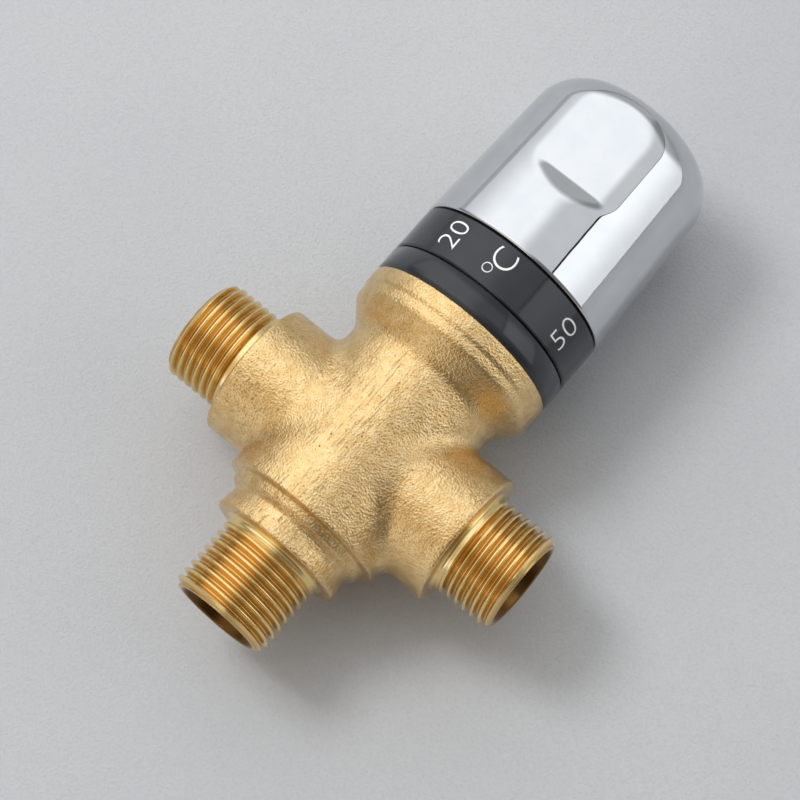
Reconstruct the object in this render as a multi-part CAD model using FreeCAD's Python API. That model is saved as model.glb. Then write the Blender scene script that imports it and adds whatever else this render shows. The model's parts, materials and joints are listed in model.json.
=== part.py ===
# Thermostatic mixing valve: a forged brass cross with three G1/2 male ports, a wax
# cartridge inside it, and a chromed knob on a black scale ring.
# Millimetres. Origin at the centre of the outlet's end face, +Y along the valve's axis
# towards the knob, -X to the hot inlet, +X to the cold inlet, +Z up.
import FreeCAD
import Part
import math
import os

Vector = FreeCAD.Vector
AXIS = Vector(0, 1, 0)
CENTRE = Vector(0, 0, 0)

# ---- clearances
seat_gap = 0.05        # radial, between pieces that are pressed or screwed together
run_gap = 0.05         # radial, where one piece turns or slides on another
end_gap = 0.1          # along the axis, between a moving shoulder and its stop
free_gap = 0.3         # between faces that pass each other
seal_slack = 0.02      # radial, around an O-ring in its groove

# ---- finish of edges
fine_edge = 0.65       # an edge up to this size is broken with a flat, a larger one is rounded
seal_sides = 8

# ---- ports
thread_r = 20.955 / 2  # G1/2 major radius
spigot_bore_r = 8.0
spigot_chamfer = 1.0
spigot_root_edge = 0.6
port_y = 40.5          # outlet end face to the line of the two inlets
inlet_reach = 39.2     # valve axis to an inlet's end face
inlet_thread_length = 13.2
hub_reach = inlet_reach - inlet_thread_length
hub_r = 13.8
hub_blend_r = 2.8
edge_r = 0.5

# ---- outer form of the forging, whose head follows the knob's foot
knob_r = 20.75
collar_y = 16.0        # face that the outlet thread springs from
collar_r = 13.9
neck_r = 13.3
neck_length = 4.6      # collar face to the groove behind it
neck_cove_r = 1.5
neck_cove_run = 1.2    # groove to the middle of the neck's cove
bead_r = 15.1
bead_length = 3.0      # groove to the forging step
bead_rise_run = 1.0
bead_slope = 0.4       # radius gained along the bead
barrel_low_r = 17.0
barrel_top_r = 16.4
step_length = 0.4
step_foot = 0.25
step_edge = 0.2
barrel_reach = 18.0    # inlet line to the foot of the head's cove
head_reach = 23.0      # inlet line to the top of the cove
cove_low_r = 4.0
cove_high_r = 2.0
head_inset = 0.45
land_inset = 0.2
head_r = knob_r - head_inset
land_r = knob_r - land_inset  # machined land under the black rings
land_length = 3.3
land_edge_r = 0.3
body_rise = 28.9       # inlet line to the forging's top
body_top = port_y + body_rise

# ---- chambers in the body
chamber_r = 13.0
chamber_drop = 16.0    # inlet line to the chamber's floor
chamber_floor = port_y - chamber_drop
shoulder_rise = 20.5   # inlet line to the cartridge's shoulder
shoulder_y = port_y + shoulder_rise
head_bore_r = 15.5
inlet_mouth_depth = 7.2  # open bore in front of the check valve
pocket_length = 12.5     # floor of the mouth to the floor of the check valve's pocket
passage_offset = 5.25  # hot below the inlet line, cold above it
passage_height = 4.4
passage_width = 12.0

# ---- cartridge housing
housing_flange_r = 15.0
housing_flange_t = 2.0
housing_bore_r = 10.5
housing_key_bore_r = 11.8
housing_key_bore_t = 2.5
spring_bore_r = 8.6
outlet_hole_r = 6.2
housing_floor_t = 1.7
gallery_r = 11.8       # foot of the ring-shaped water galleries
gallery_height = 4.6
window_height = 3.4
window_count = 6
window_width = 7.0
seal_wire = 1.8        # section of the housing's O-rings
seal_groove_width = 2.3
seal_spacing = 10.6

# ---- shuttle, wax element and return spring
shuttle_length = 11.0
shuttle_wall = 2.2
shuttle_play = 1.5     # each end of the shuttle to its seat, at rest
shuttle_hub_r = 4.4
shuttle_web_t = 3.0
spoke_count = 4
spoke_width = 2.2
shuttle_seal_wire = 1.2
cold_seat_length = 2.6
cold_seat_bore_r = 8.9
element_r = 4.6
element_length = 9.8
element_flange_r = 5.2
element_flange_t = 1.7
element_neck_r = 3.0
element_neck_rise = 4.0
piston_r = 1.5
piston_depth = 2.5     # how far the piston stands in the element below the flange
return_mean_r = 7.3
return_wire = 1.2
return_turns = 5
coil_steps = 12        # straight runs in one turn of any spring
coil_sides = 6

# ---- adjusting nut, overload spring and its pusher
cage_r = 8.3
cage_wall = 1.2
cage_length = 9.0
pusher_r = 6.8
pusher_t = 1.5
pusher_rise = 9.0      # inlet line to the pusher's underside
clip_t = 1.0
clip_bite = 0.4
overload_wire = 1.3
overload_mean_r = 5.9
overload_turns = 4
overload_length = 6.0
nut_r = 9.95
nut_length = 8.0
key_width = 3.0
key_depth = 1.35
key_length = 3.0

# ---- spindle and head nut
spindle_r = 5.0
spindle_inset = 1.5    # foot of the nut's thread to the spindle's end
collar_gap = 1.6       # top of the nut to the spindle's thrust collar
thrust_r = 7.2
thrust_t = 1.8
head_flange_r = 17.0
head_flange_t = 2.6
boss_play = 1.5        # radial, boss to the stops that pass it
boss_flat_cut = 0.9
boss_length = 9.9      # forging's top to the boss's top
head_top = body_top + boss_length
stem_seal_wire = 1.6
stem_groove_width = 2.0
stem_seal_first = 3.0  # thrust face to the first O-ring
stem_seal_pitch = 3.6
stem_clip_r = 6.6
stem_clip_t = 0.7
stem_clip_bite = 1.0   # depth of the clip's groove
stem_clip_gap = 0.15   # head nut's top to the clip
stem_clip_slot = 4.0
spline_r = 4.7
spline_depth = 0.5
spline_count = 16
spline_length = 13.0
spindle_neck = 17.7    # boss's top to the spindle's top
spindle_top = head_top + spindle_neck
screw_r = 2.0
screw_depth = 9.0
screw_head_r = 3.6
screw_head_t = 2.2
screw_slot = 0.9

# ---- stop ring, scale ring and knob
ring_inset = 0.15      # knob's foot to the face of the lower ring
ring_r = knob_r - ring_inset
ring_base_cut = 0.25
ring_base_r = ring_r - ring_base_cut
ring_base_t = 0.9
ring_wall = 3.5
stop_ring_t = 5.3
ring_split = 0.35      # open line between the two black rings
scale_inset = 0.2
scale_r = knob_r - scale_inset
scale_ring_t = 9.6
scale_wall = 1.95
band_bore_r = scale_r - scale_wall
knob_line = 0.25       # open line between scale ring and knob
knob_taper = 0.039     # radius lost per millimetre of height
knob_length = 41.0
knob_wall = 1.6
knob_corner_r = 9.7
knob_crown = 1.0
knob_crown_r = 40.0
knob_crown_flat = 5.0
knob_edge_r = 0.4
flat_depth = 1.8       # finger flats, below the round
flat_start = 17.0      # knob's foot to the flat's end wall
flat_ramp = 3.0
flat_overrun = 5.0     # cutter carried past the knob's top
plug_length = 4.2
web_t = 2.4
carrier_hub_r = 7.6
carrier_drop = 2.0     # scale ring's top to the hub's foot
carrier_lip = 0.5      # hub's top over the spindle's
turn_to_hot = 54.0     # degrees the knob turns back to bring 50 to the middle line
turn_to_cold = 30.0    # degrees it turns forward to bring 20 there
stop_t = 2.8
stop_play = 1.4        # radial, stops to the scale ring's bore
stop_r = band_bore_r - stop_play - stop_t
boss_r = stop_r - boss_play
boss_flat = boss_r - boss_flat_cut
stop_width = 12.0      # degrees
stop_gap = 0.6         # degrees left at each stop
stop_rise = 4.2
tab_angle = 180.0      # the moving stop stands under the valve at rest
tab_bite = 0.5         # how far a stop is rooted in its ring

# ---- check valves in the inlets
check_pocket_r = 7.5
check_recess = 0.3     # check valve's face below the floor of the inlet's mouth
check_bore_r = 6.2
check_mouth_r = 4.5
check_mouth_t = 3.5
check_seal_wire = 1.5
check_seal_groove = 1.9
guide_r = 2.7
guide_bore_r = 1.5
guide_length = 3.0
guide_spoke_t = 2.0
guide_rise = 1.1
poppet_r = 5.4
poppet_t = 1.3
poppet_stem_end = 2.5  # bore floor to the stem's end
check_wire = 0.7
check_mean_r = 3.2
check_turns = 2.5

# ---- places that follow from the sizes
hot_y = port_y - passage_offset
cold_y = port_y + passage_offset
hot_seat_y = port_y - shuttle_length / 2 - shuttle_play
cold_seat_y = port_y + shuttle_length / 2 + shuttle_play
shuttle_r = housing_bore_r - run_gap
shuttle_low = port_y - shuttle_length / 2
shuttle_high = port_y + shuttle_length / 2
housing_r = chamber_r - seat_gap
housing_top = shoulder_y + housing_flange_t
web_low = port_y - shuttle_web_t / 2
web_high = port_y + shuttle_web_t / 2
pusher_y = port_y + pusher_rise
cage_low = pusher_y - clip_t
nut_low = pusher_y + pusher_t + overload_length
nut_high = nut_low + nut_length
thrust_low = nut_high + collar_gap
thrust_high = thrust_low + thrust_t
thrust_face = thrust_high + end_gap
stem_clip_y = head_top + stem_clip_gap
ring_top = body_top + stop_ring_t
scale_low = ring_top + ring_split
scale_top = scale_low + scale_ring_t
knob_low = scale_top + knob_line
knob_top = knob_low + knob_length
cavity_r = knob_r - knob_wall
web_top = scale_top + plug_length
carrier_top = spindle_top + carrier_lip
mouth_floor = inlet_reach - inlet_mouth_depth
inlet_bore_end = mouth_floor - pocket_length
check_low = inlet_bore_end
check_high = mouth_floor - check_recess
check_r = check_pocket_r - seat_gap
check_seat = check_high - check_mouth_t


def rounded_wire(corners):
    """Closed outline in the half plane below the axis: corners are (y, r) or (y, r, radius)."""
    points = [Vector(0, c[0], -c[1]) for c in corners]
    radii = [c[2] if len(c) > 2 else 0.0 for c in corners]
    starts = []
    ends = []
    edges = []
    for i, point in enumerate(points):
        before = points[i - 1] - point
        after = points[(i + 1) % len(points)] - point
        if radii[i] == 0.0:
            starts.append(point)
            ends.append(point)
            continue
        before.normalize()
        after.normalize()
        half = before.getAngle(after) / 2
        run = radii[i] / math.tan(half)
        middle = before + after
        middle.normalize()
        hub = point + middle * (radii[i] / math.sin(half))
        starts.append(point + before * run)
        ends.append(point + after * run)
        if radii[i] > fine_edge:
            edges.append(Part.Arc(starts[i], hub - middle * radii[i], ends[i]).toShape())
        else:
            edges.append(Part.LineSegment(starts[i], ends[i]).toShape())
    for i, end in enumerate(ends):
        start = starts[(i + 1) % len(points)]
        if (start - end).Length > 1e-6:
            edges.append(Part.LineSegment(end, start).toShape())
    return Part.Wire(Part.__sortEdges__(edges))


def turned(*corners):
    """Solid turned about the valve's axis from an outline of (y, r[, corner radius])."""
    return Part.Face(rounded_wire(corners)).revolve(CENTRE, AXIS, 360)


def rod(r, low, high):
    return Part.makeCylinder(r, high - low, Vector(0, low, 0), AXIS)


def tube(r, bore, low, high):
    return rod(r, low, high).cut(rod(bore, low - 1, high + 1))


def o_ring(inner_r, wire, y):
    """Ring of flat-sided section whose flats meet the groove's foot and the bore."""
    reach = (wire / 2 - seal_slack) / math.cos(math.pi / seal_sides)
    section = []
    for i in range(seal_sides):
        angle = 2 * math.pi * (i + 0.5) / seal_sides
        section.append((y + reach * math.sin(angle), inner_r + wire / 2 + reach * math.cos(angle)))
    return turned(*section)


def round_the_axis(shape, angle):
    """Turns a shape from +Z towards +X about the valve's axis, in degrees."""
    copy = shape.copy()
    copy.rotate(CENTRE, AXIS, angle)
    return copy


def block(width, low, high, z_low, z_high):
    return Part.makeBox(width, high - low, z_high - z_low, Vector(-width / 2, low, z_low))


def sector(r, bore, low, high, middle, width):
    """Piece of a tube, width degrees wide, about the given angle from +Z."""
    reach = 2 * r
    spread = reach * math.tan(math.radians(width / 2))
    corners = [Vector(0, low, 0), Vector(-spread, low, reach), Vector(spread, low, reach)]
    wedge = Part.Face(Part.makePolygon(corners + corners[:1])).extrude(AXIS * (high - low))
    return round_the_axis(tube(r, bore, low, high).common(wedge), middle)


def coil(mean_r, wire, low, high, turns):
    """Compression spring between two seats at low and high, in short mitred runs."""
    runs = round(turns * coil_steps)
    first = low + seat_gap + wire / 2
    rise = (high - low - wire - 2 * seat_gap) / runs
    path = []
    for i in range(runs + 1):
        angle = 2 * math.pi * i / coil_steps
        path.append(Vector(mean_r * math.sin(angle), first + i * rise, mean_r * math.cos(angle)))
    rim = []
    for i in range(coil_sides):
        angle = 2 * math.pi * i / coil_sides
        rim.append(path[0] + Vector(0, math.cos(angle), math.sin(angle)) * (wire / 2))
    section = Part.makePolygon(rim + rim[:1])
    return Part.makePolygon(path).makePipeShell([section], True, True, 1)


def at_inlet(shape, side):
    """Moves a piece built along +Y from the valve's centre into the inlet on side -1 or +1."""
    copy = shape.copy()
    copy.rotate(CENTRE, Vector(0, 0, 1), -90 * side)
    copy.translate(Vector(0, port_y, 0))
    return copy


# ---- the forging
def spigot(face, end):
    """Blank of a male thread from its face to its chamfered end."""
    stub_r = thread_r - spigot_chamfer
    return [(end, stub_r), (end - math.copysign(spigot_chamfer, end - face), thread_r),
            (face, thread_r, spigot_root_edge)]


def barrel():
    groove = collar_y + neck_length
    step = groove + bead_length
    return turned(
        (0, 0),
        *spigot(collar_y, 0),
        (collar_y, collar_r, edge_r),
        (groove - neck_cove_run, neck_r, neck_cove_r),
        (groove, neck_r, edge_r),
        (groove + bead_rise_run, bead_r - bead_slope, edge_r),
        (step - step_length, bead_r, step_foot),
        (step, barrel_low_r, step_edge),
        (port_y + barrel_reach, barrel_top_r, cove_low_r),
        (port_y + head_reach, head_r, cove_high_r),
        (body_top - land_length, head_r),
        (body_top - land_length, land_r, 0.1),
        (body_top, land_r, land_edge_r),
        (body_top, 0))


def hub():
    return turned(
        (0, 0),
        (0, hub_r),
        (hub_reach, hub_r, edge_r),
        *reversed(spigot(hub_reach, inlet_reach)),
        (inlet_reach, 0))


def blended_cross():
    """Barrel and hubs, with the hubs' roots rounded into the barrel as they are forged."""
    cross = barrel().fuse([at_inlet(hub(), -1), at_inlet(hub(), 1)])
    cross = cross.removeSplitter()
    roots = [e for e in cross.Edges if e.Curve.TypeId == "Part::GeomBSplineCurve"]
    return cross.makeFillet(hub_blend_r, roots)


def inlet_passage(side, y):
    """Flat way from an inlet's bore to the chamber."""
    length = inlet_bore_end
    slot = Part.makeBox(length, passage_height, passage_width,
                        Vector(0, y - passage_height / 2, -passage_width / 2))
    corners = [e for e in slot.Edges if abs(e.tangentAt(e.FirstParameter).x) > 0.99]
    slot = slot.makeFillet(passage_height / 2 - 0.01, corners)
    if side < 0:
        slot.translate(Vector(-length, 0, 0))
    return slot


def valve_body():
    body = blended_cross()
    body = body.cut(rod(spigot_bore_r, -1, chamber_floor + 1))
    body = body.cut(rod(chamber_r, chamber_floor, body_top))
    body = body.cut(rod(head_bore_r, shoulder_y, body_top + 1))
    for side, y in ((-1, hot_y), (1, cold_y)):
        body = body.cut(at_inlet(rod(check_pocket_r, inlet_bore_end, inlet_reach), side))
        body = body.cut(at_inlet(rod(spigot_bore_r, mouth_floor, inlet_reach + 1), side))
        body = body.cut(inlet_passage(side, y))
    return body


# ---- cartridge
def cartridge_housing():
    floor = chamber_floor + housing_floor_t
    shell = turned(
        (chamber_floor, 0), (chamber_floor, housing_r), (shoulder_y, housing_r),
        (shoulder_y, housing_flange_r), (housing_top, housing_flange_r), (housing_top, 0))
    shell = shell.cut(rod(outlet_hole_r, chamber_floor - 1, floor + 1))
    shell = shell.cut(rod(spring_bore_r, floor, hot_seat_y + 1))
    shell = shell.cut(rod(housing_bore_r, hot_seat_y, housing_top + 1))
    shell = shell.cut(rod(housing_key_bore_r, housing_top - housing_key_bore_t, housing_top + 1))
    for y in (hot_y, cold_y):
        shell = shell.cut(tube(housing_r + 1, gallery_r, y - gallery_height / 2,
                               y + gallery_height / 2))
    windows = ((hot_seat_y, hot_seat_y + window_height), (cold_seat_y - window_height, cold_seat_y))
    for low, high in windows:
        for i in range(window_count):
            window = block(window_width, low, high, spring_bore_r, housing_r)
            shell = shell.cut(round_the_axis(window, (i + 0.5) * 360 / window_count))
    for y in housing_seal_places():
        shell = shell.cut(tube(housing_r + 1, housing_seal_foot(), y - seal_groove_width / 2,
                               y + seal_groove_width / 2))
    return shell


def housing_seal_places():
    return (port_y - seal_spacing, port_y, port_y + seal_spacing)


def housing_seal_foot():
    return chamber_r - seal_wire


def housing_seal(y):
    return o_ring(housing_seal_foot(), seal_wire, y)


def cold_seat():
    return tube(housing_bore_r - seat_gap, cold_seat_bore_r, cold_seat_y,
                cold_seat_y + cold_seat_length)


def shuttle():
    sleeve = tube(shuttle_r, shuttle_r - shuttle_wall, shuttle_low, shuttle_high)
    sleeve = sleeve.cut(tube(shuttle_r + 1, shuttle_seal_foot(), port_y - shuttle_seal_wire * 0.6,
                             port_y + shuttle_seal_wire * 0.6))
    sleeve = sleeve.fuse(rod(shuttle_hub_r, web_low, web_high))
    for i in range(spoke_count):
        spoke = block(spoke_width, web_low, web_high, 0, shuttle_seal_foot() - 0.1)
        sleeve = sleeve.fuse(round_the_axis(spoke, i * 360 / spoke_count))
    return sleeve.cut(rod(element_neck_r, web_low - 1, web_high + 1)).removeSplitter()


def shuttle_seal_foot():
    return housing_bore_r - run_gap - shuttle_seal_wire


def shuttle_seal():
    return o_ring(shuttle_seal_foot(), shuttle_seal_wire - run_gap, port_y)


def thermal_element():
    flange_low = web_low - element_flange_t
    capsule = turned(
        (flange_low - element_length, 0), (flange_low - element_length, element_r, 1.2),
        (flange_low, element_r), (flange_low, element_flange_r, 0.3),
        (web_low, element_flange_r), (web_low, element_neck_r - seat_gap),
        (port_y + element_neck_rise, element_neck_r - seat_gap, 0.3),
        (port_y + element_neck_rise, 0))
    bore_foot = piston_foot() - element_flange_t
    return capsule.cut(rod(piston_r + run_gap, bore_foot, port_y + element_neck_rise + 1))


def piston_foot():
    return web_low - piston_depth


def element_piston():
    return rod(piston_r, piston_foot(), pusher_y)


def return_spring():
    return coil(return_mean_r, return_wire, chamber_floor + housing_floor_t, web_low, return_turns)


# ---- adjusting nut and overload parts
def adjusting_nut():
    nut = rod(nut_r, nut_low, nut_high)
    nut = nut.fuse(rod(cage_r, cage_low - clip_t, nut_low))
    for angle in (0, 180):
        key = block(key_width, nut_high - key_length, nut_high, nut_r - 1, nut_r + key_depth)
        nut = nut.fuse(round_the_axis(key, angle))
    nut = nut.cut(rod(spindle_r + run_gap, nut_low - 1, nut_high + 1))
    nut = nut.cut(rod(cage_bore_r(), cage_low - clip_t - 1, nut_low))
    return nut.cut(rod(cage_bore_r() + clip_bite, cage_low, cage_low + clip_t))


def cage_bore_r():
    return cage_r - cage_wall


def cage_clip():
    ring = tube(cage_bore_r() + clip_bite - seat_gap, pusher_r - 1.2, cage_low, cage_low + clip_t)
    return ring.cut(block(2.0, cage_low - 1, cage_low + clip_t + 1, 0, cage_r))


def overload_pusher():
    return turned((pusher_y, 0), (pusher_y, pusher_r, 0.3), (pusher_y + pusher_t, pusher_r, 0.3),
                  (pusher_y + pusher_t, 0))


def overload_spring():
    return coil(overload_mean_r, overload_wire, pusher_y + pusher_t, nut_low, overload_turns)


# ---- spindle and head nut
def stem_seal_places():
    first = thrust_face + stem_seal_first
    return (first, first + stem_seal_pitch)


def stem_groove_r():
    return spindle_r - stem_seal_wire


def spline_star(r, low, high):
    """Toothed rod, one V-shaped tooth for each groove of the spline."""
    points = []
    for i in range(spline_count * 2):
        reach = r if i % 2 == 0 else r - spline_depth
        angle = math.pi * i / spline_count
        points.append(Vector(reach * math.sin(angle), low, reach * math.cos(angle)))
    points.append(points[0])
    return Part.Face(Part.makePolygon(points)).extrude(AXIS * (high - low))


def spindle():
    spline_low = spindle_top - spline_length
    stem = turned(
        (nut_low + spindle_inset, 0), (nut_low + spindle_inset, spindle_r, 0.4),
        (thrust_low, spindle_r), (thrust_low, thrust_r), (thrust_high, thrust_r),
        (thrust_high, spindle_r), (spline_low - 2, spindle_r), (spline_low - 1, spline_r - 0.8),
        (spline_low, spline_r - 0.8), (spline_low, 0))
    stem = stem.fuse(spline_star(spline_r, spline_low, spindle_top))
    for y in stem_seal_places():
        stem = stem.cut(tube(spindle_r + 1, stem_groove_r(), y - stem_groove_width / 2,
                             y + stem_groove_width / 2))
    stem = stem.cut(tube(spindle_r + 1, spindle_r - stem_clip_bite, stem_clip_y,
                         stem_clip_y + stem_clip_t))
    return stem.cut(rod(screw_r, spindle_top - screw_depth, spindle_top + 1))


def stem_seal(y):
    return o_ring(stem_groove_r(), stem_seal_wire, y)


def stem_clip():
    ring = tube(stem_clip_r, spindle_r - stem_clip_bite + seat_gap, stem_clip_y, stem_clip_y + stem_clip_t)
    slot = block(stem_clip_slot, stem_clip_y - 1, stem_clip_y + stem_clip_t + 1, 0, stem_clip_r + 1)
    return ring.cut(slot)


def two_flats(shape, flat, low, high):
    """Cuts a round boss to two flats across X between low and high."""
    reach = 2 * flat
    for corner in (flat, -flat - reach):
        slab = Part.makeBox(reach, high - low, 2 * reach, Vector(corner, low, -reach))
        shape = shape.cut(slab)
    return shape


def head_nut():
    flange_top = body_top + head_flange_t
    nut = turned(
        (housing_top, 0), (housing_top, head_bore_r - seat_gap), (body_top, head_bore_r - seat_gap),
        (body_top, head_flange_r, 0.3), (flange_top, head_flange_r, 0.3), (flange_top, boss_r),
        (head_top, boss_r, 0.6), (head_top, 0))
    nut = two_flats(nut, boss_flat, flange_top, head_top + 1)
    nut = nut.cut(rod(nut_r + run_gap, housing_top - 1, thrust_face))
    nut = nut.cut(rod(spindle_r + run_gap, thrust_face - 1, head_top + 1))
    for angle in (0, 180):
        way = block(key_width + 2 * free_gap, housing_top - 1, thrust_face, 0,
                    nut_r + key_depth + free_gap)
        nut = nut.cut(round_the_axis(way, angle))
    return nut


# ---- rings and knob
def stop_ring():
    web_low_y = body_top + head_flange_t + seat_gap
    ring = turned(
        (body_top, head_flange_r + 2 * seat_gap), (body_top, ring_base_r, 0.2),
        (body_top + ring_base_t, ring_r, 0.3), (ring_top, ring_r, 0.3), (ring_top, 0),
        (web_low_y, 0), (web_low_y, head_flange_r + 2 * seat_gap))
    hole = rod(boss_r + 2 * seat_gap, web_low_y - 1, ring_top + 1)
    ring = ring.cut(two_flats(hole, boss_flat + 2 * seat_gap, web_low_y - 1, ring_top + 1))
    beside = stop_width + stop_gap
    for angle in (tab_angle - turn_to_hot - beside, tab_angle + turn_to_cold + beside):
        post = sector(stop_r + stop_t, stop_r, ring_top - tab_bite, ring_top + stop_rise, angle,
                      stop_width)
        ring = ring.fuse(post)
    return ring.removeSplitter()


def scale_ring():
    hub_low = scale_top - carrier_drop
    plug_r = cavity_at(web_top) - seat_gap
    ring = turned(
        (scale_low, band_bore_r), (scale_low, scale_r, 0.3), (scale_top, scale_r, 0.3),
        (scale_top, plug_r), (web_top, plug_r, 0.3), (web_top, carrier_hub_r, 1.0),
        (carrier_top, carrier_hub_r, 0.5), (carrier_top, 0), (hub_low, 0),
        (hub_low, carrier_hub_r), (web_top - web_t, carrier_hub_r, 1.0),
        (web_top - web_t, band_bore_r))
    tab = sector(band_bore_r + tab_bite, stop_r, ring_top + end_gap + ring_split, web_top - web_t + tab_bite,
                 tab_angle, stop_width)
    ring = ring.fuse(tab)
    ring = ring.cut(spline_star(spline_r + run_gap, hub_low - 1, spindle_top))
    return ring.cut(rod(screw_r + free_gap, spindle_top - 1, carrier_top + 1)).removeSplitter()


def knob_at(y):
    return knob_r - knob_taper * (y - knob_low)


def cavity_at(y):
    return knob_at(y) - knob_wall


def finger_flat(inset):
    """What a finger flat takes off, with its sloping end wall, inset below the flat's face."""
    low = knob_low + flat_start
    ramp = flat_ramp / flat_depth
    floor_low = knob_at(low) - flat_depth - inset
    floor_high = knob_at(knob_top) - flat_depth - inset
    rise = flat_depth * 3
    past_top = knob_top + flat_overrun
    outline = [Vector(0, low, floor_low), Vector(0, past_top, floor_high),
               Vector(0, past_top, floor_high + rise),
               Vector(0, low - rise * ramp, floor_low + rise)]
    face = Part.Face(Part.makePolygon(outline + outline[:1]))
    cutter = face.extrude(Vector(2 * knob_r, 0, 0))
    cutter.translate(Vector(-knob_r, 0, 0))
    return cutter


def knob():
    crown_y = knob_top - knob_crown
    shell = turned(
        (knob_low, 0), (knob_low, knob_r, knob_edge_r),
        (crown_y, knob_at(crown_y), knob_corner_r), (knob_top, knob_crown_flat, knob_crown_r),
        (knob_top, 0))
    cavity = turned(
        (knob_low - 1, 0), (knob_low - 1, cavity_at(knob_low - 1)),
        (crown_y - knob_wall, cavity_at(crown_y), knob_corner_r - knob_wall),
        (knob_top - knob_wall, knob_crown_flat, knob_crown_r), (knob_top - knob_wall, 0))
    for angle in (0, 180):
        shell = shell.cut(round_the_axis(finger_flat(0), angle))
        cavity = cavity.cut(round_the_axis(finger_flat(knob_wall), angle))
    return shell.cut(cavity)


def knob_screw():
    head_top_y = carrier_top + screw_head_t
    screw = rod(screw_r - seat_gap, spindle_top - screw_depth + 1, carrier_top)
    head = turned((carrier_top, 0), (carrier_top, screw_head_r), (head_top_y, screw_head_r, 1.0),
                  (head_top_y, 0))
    slot = block(screw_slot, head_top_y - 1.2, head_top_y + 1, -screw_head_r, screw_head_r)
    return screw.fuse(head.cut(slot)).removeSplitter()


# ---- check valves, built along +Y from the valve's axis
def check_seal_foot():
    return check_pocket_r - check_seal_wire


def check_seal_place():
    return (check_seat + check_high) / 2


def check_housing():
    shell = tube(check_r, check_bore_r, check_low, check_seat)
    mouth = tube(check_r, check_mouth_r, check_seat, check_high)
    shell = shell.fuse(mouth)
    groove = tube(check_r + 1, check_seal_foot(), check_seal_place() - check_seal_groove / 2,
                  check_seal_place() + check_seal_groove / 2)
    shell = shell.cut(groove)
    guide_low = check_low + guide_rise
    guide = rod(guide_r, guide_low, guide_low + guide_length)
    for i in range(3):
        spoke = block(1.6, guide_low, guide_low + guide_spoke_t, 0, check_bore_r + 0.5)
        guide = guide.fuse(round_the_axis(spoke, i * 120))
    shell = shell.fuse(guide)
    return shell.cut(rod(guide_bore_r, guide_low - 1, guide_low + guide_length + 1)).removeSplitter()


def check_poppet():
    face = check_seat - end_gap
    return turned(
        (check_low + poppet_stem_end, 0), (check_low + poppet_stem_end, guide_bore_r - run_gap, 0.2),
        (face - poppet_t, guide_bore_r - run_gap, 0.4), (face - poppet_t, poppet_r),
        (face, poppet_r, 0.3), (face, 0))


def check_spring():
    return coil(check_mean_r, check_wire, check_low + guide_rise + guide_spoke_t,
                check_seat - end_gap - poppet_t, check_turns)


def check_seal():
    return o_ring(check_seal_foot(), check_seal_wire, check_seal_place())


def all_parts():
    seals = housing_seal_places()
    stem_seals = stem_seal_places()
    parts = {
        "valve_body": valve_body(),
        "cartridge_housing": cartridge_housing(),
        "housing_seal_lower": housing_seal(seals[0]),
        "housing_seal_middle": housing_seal(seals[1]),
        "housing_seal_upper": housing_seal(seals[2]),
        "cold_seat": cold_seat(),
        "shuttle": shuttle(),
        "shuttle_seal": shuttle_seal(),
        "thermal_element": thermal_element(),
        "element_piston": element_piston(),
        "return_spring": return_spring(),
        "adjusting_nut": adjusting_nut(),
        "cage_clip": cage_clip(),
        "overload_pusher": overload_pusher(),
        "overload_spring": overload_spring(),
        "spindle": spindle(),
        "stem_seal_lower": stem_seal(stem_seals[0]),
        "stem_seal_upper": stem_seal(stem_seals[1]),
        "stem_clip": stem_clip(),
        "head_nut": head_nut(),
        "stop_ring": stop_ring(),
        "scale_ring": scale_ring(),
        "knob": knob(),
        "knob_screw": knob_screw(),
    }
    for name, side in (("hot", -1), ("cold", 1)):
        parts[name + "_check_housing"] = at_inlet(check_housing(), side)
        parts[name + "_check_poppet"] = at_inlet(check_poppet(), side)
        parts[name + "_check_spring"] = at_inlet(check_spring(), side)
        parts[name + "_check_seal"] = at_inlet(check_seal(), side)
    return parts


os.makedirs("parts", exist_ok=True)
for node, shape in all_parts().items():
    shape.exportStep("parts/" + node + ".step")
    print(node, shape.isValid(), len(shape.Solids), round(shape.Volume, 2))
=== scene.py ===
"""Looks of a thermostatic mixing valve.

A forged brass cross with three G1/2 threads, two black rings and a chromed knob. The valve's
axis is +Y from the outlet to the knob, the inlets point along X, and the table lies under -Z.
"""

import json
import math

import bmesh
import bpy
import numpy as np
from mathutils import Matrix, Vector


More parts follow.
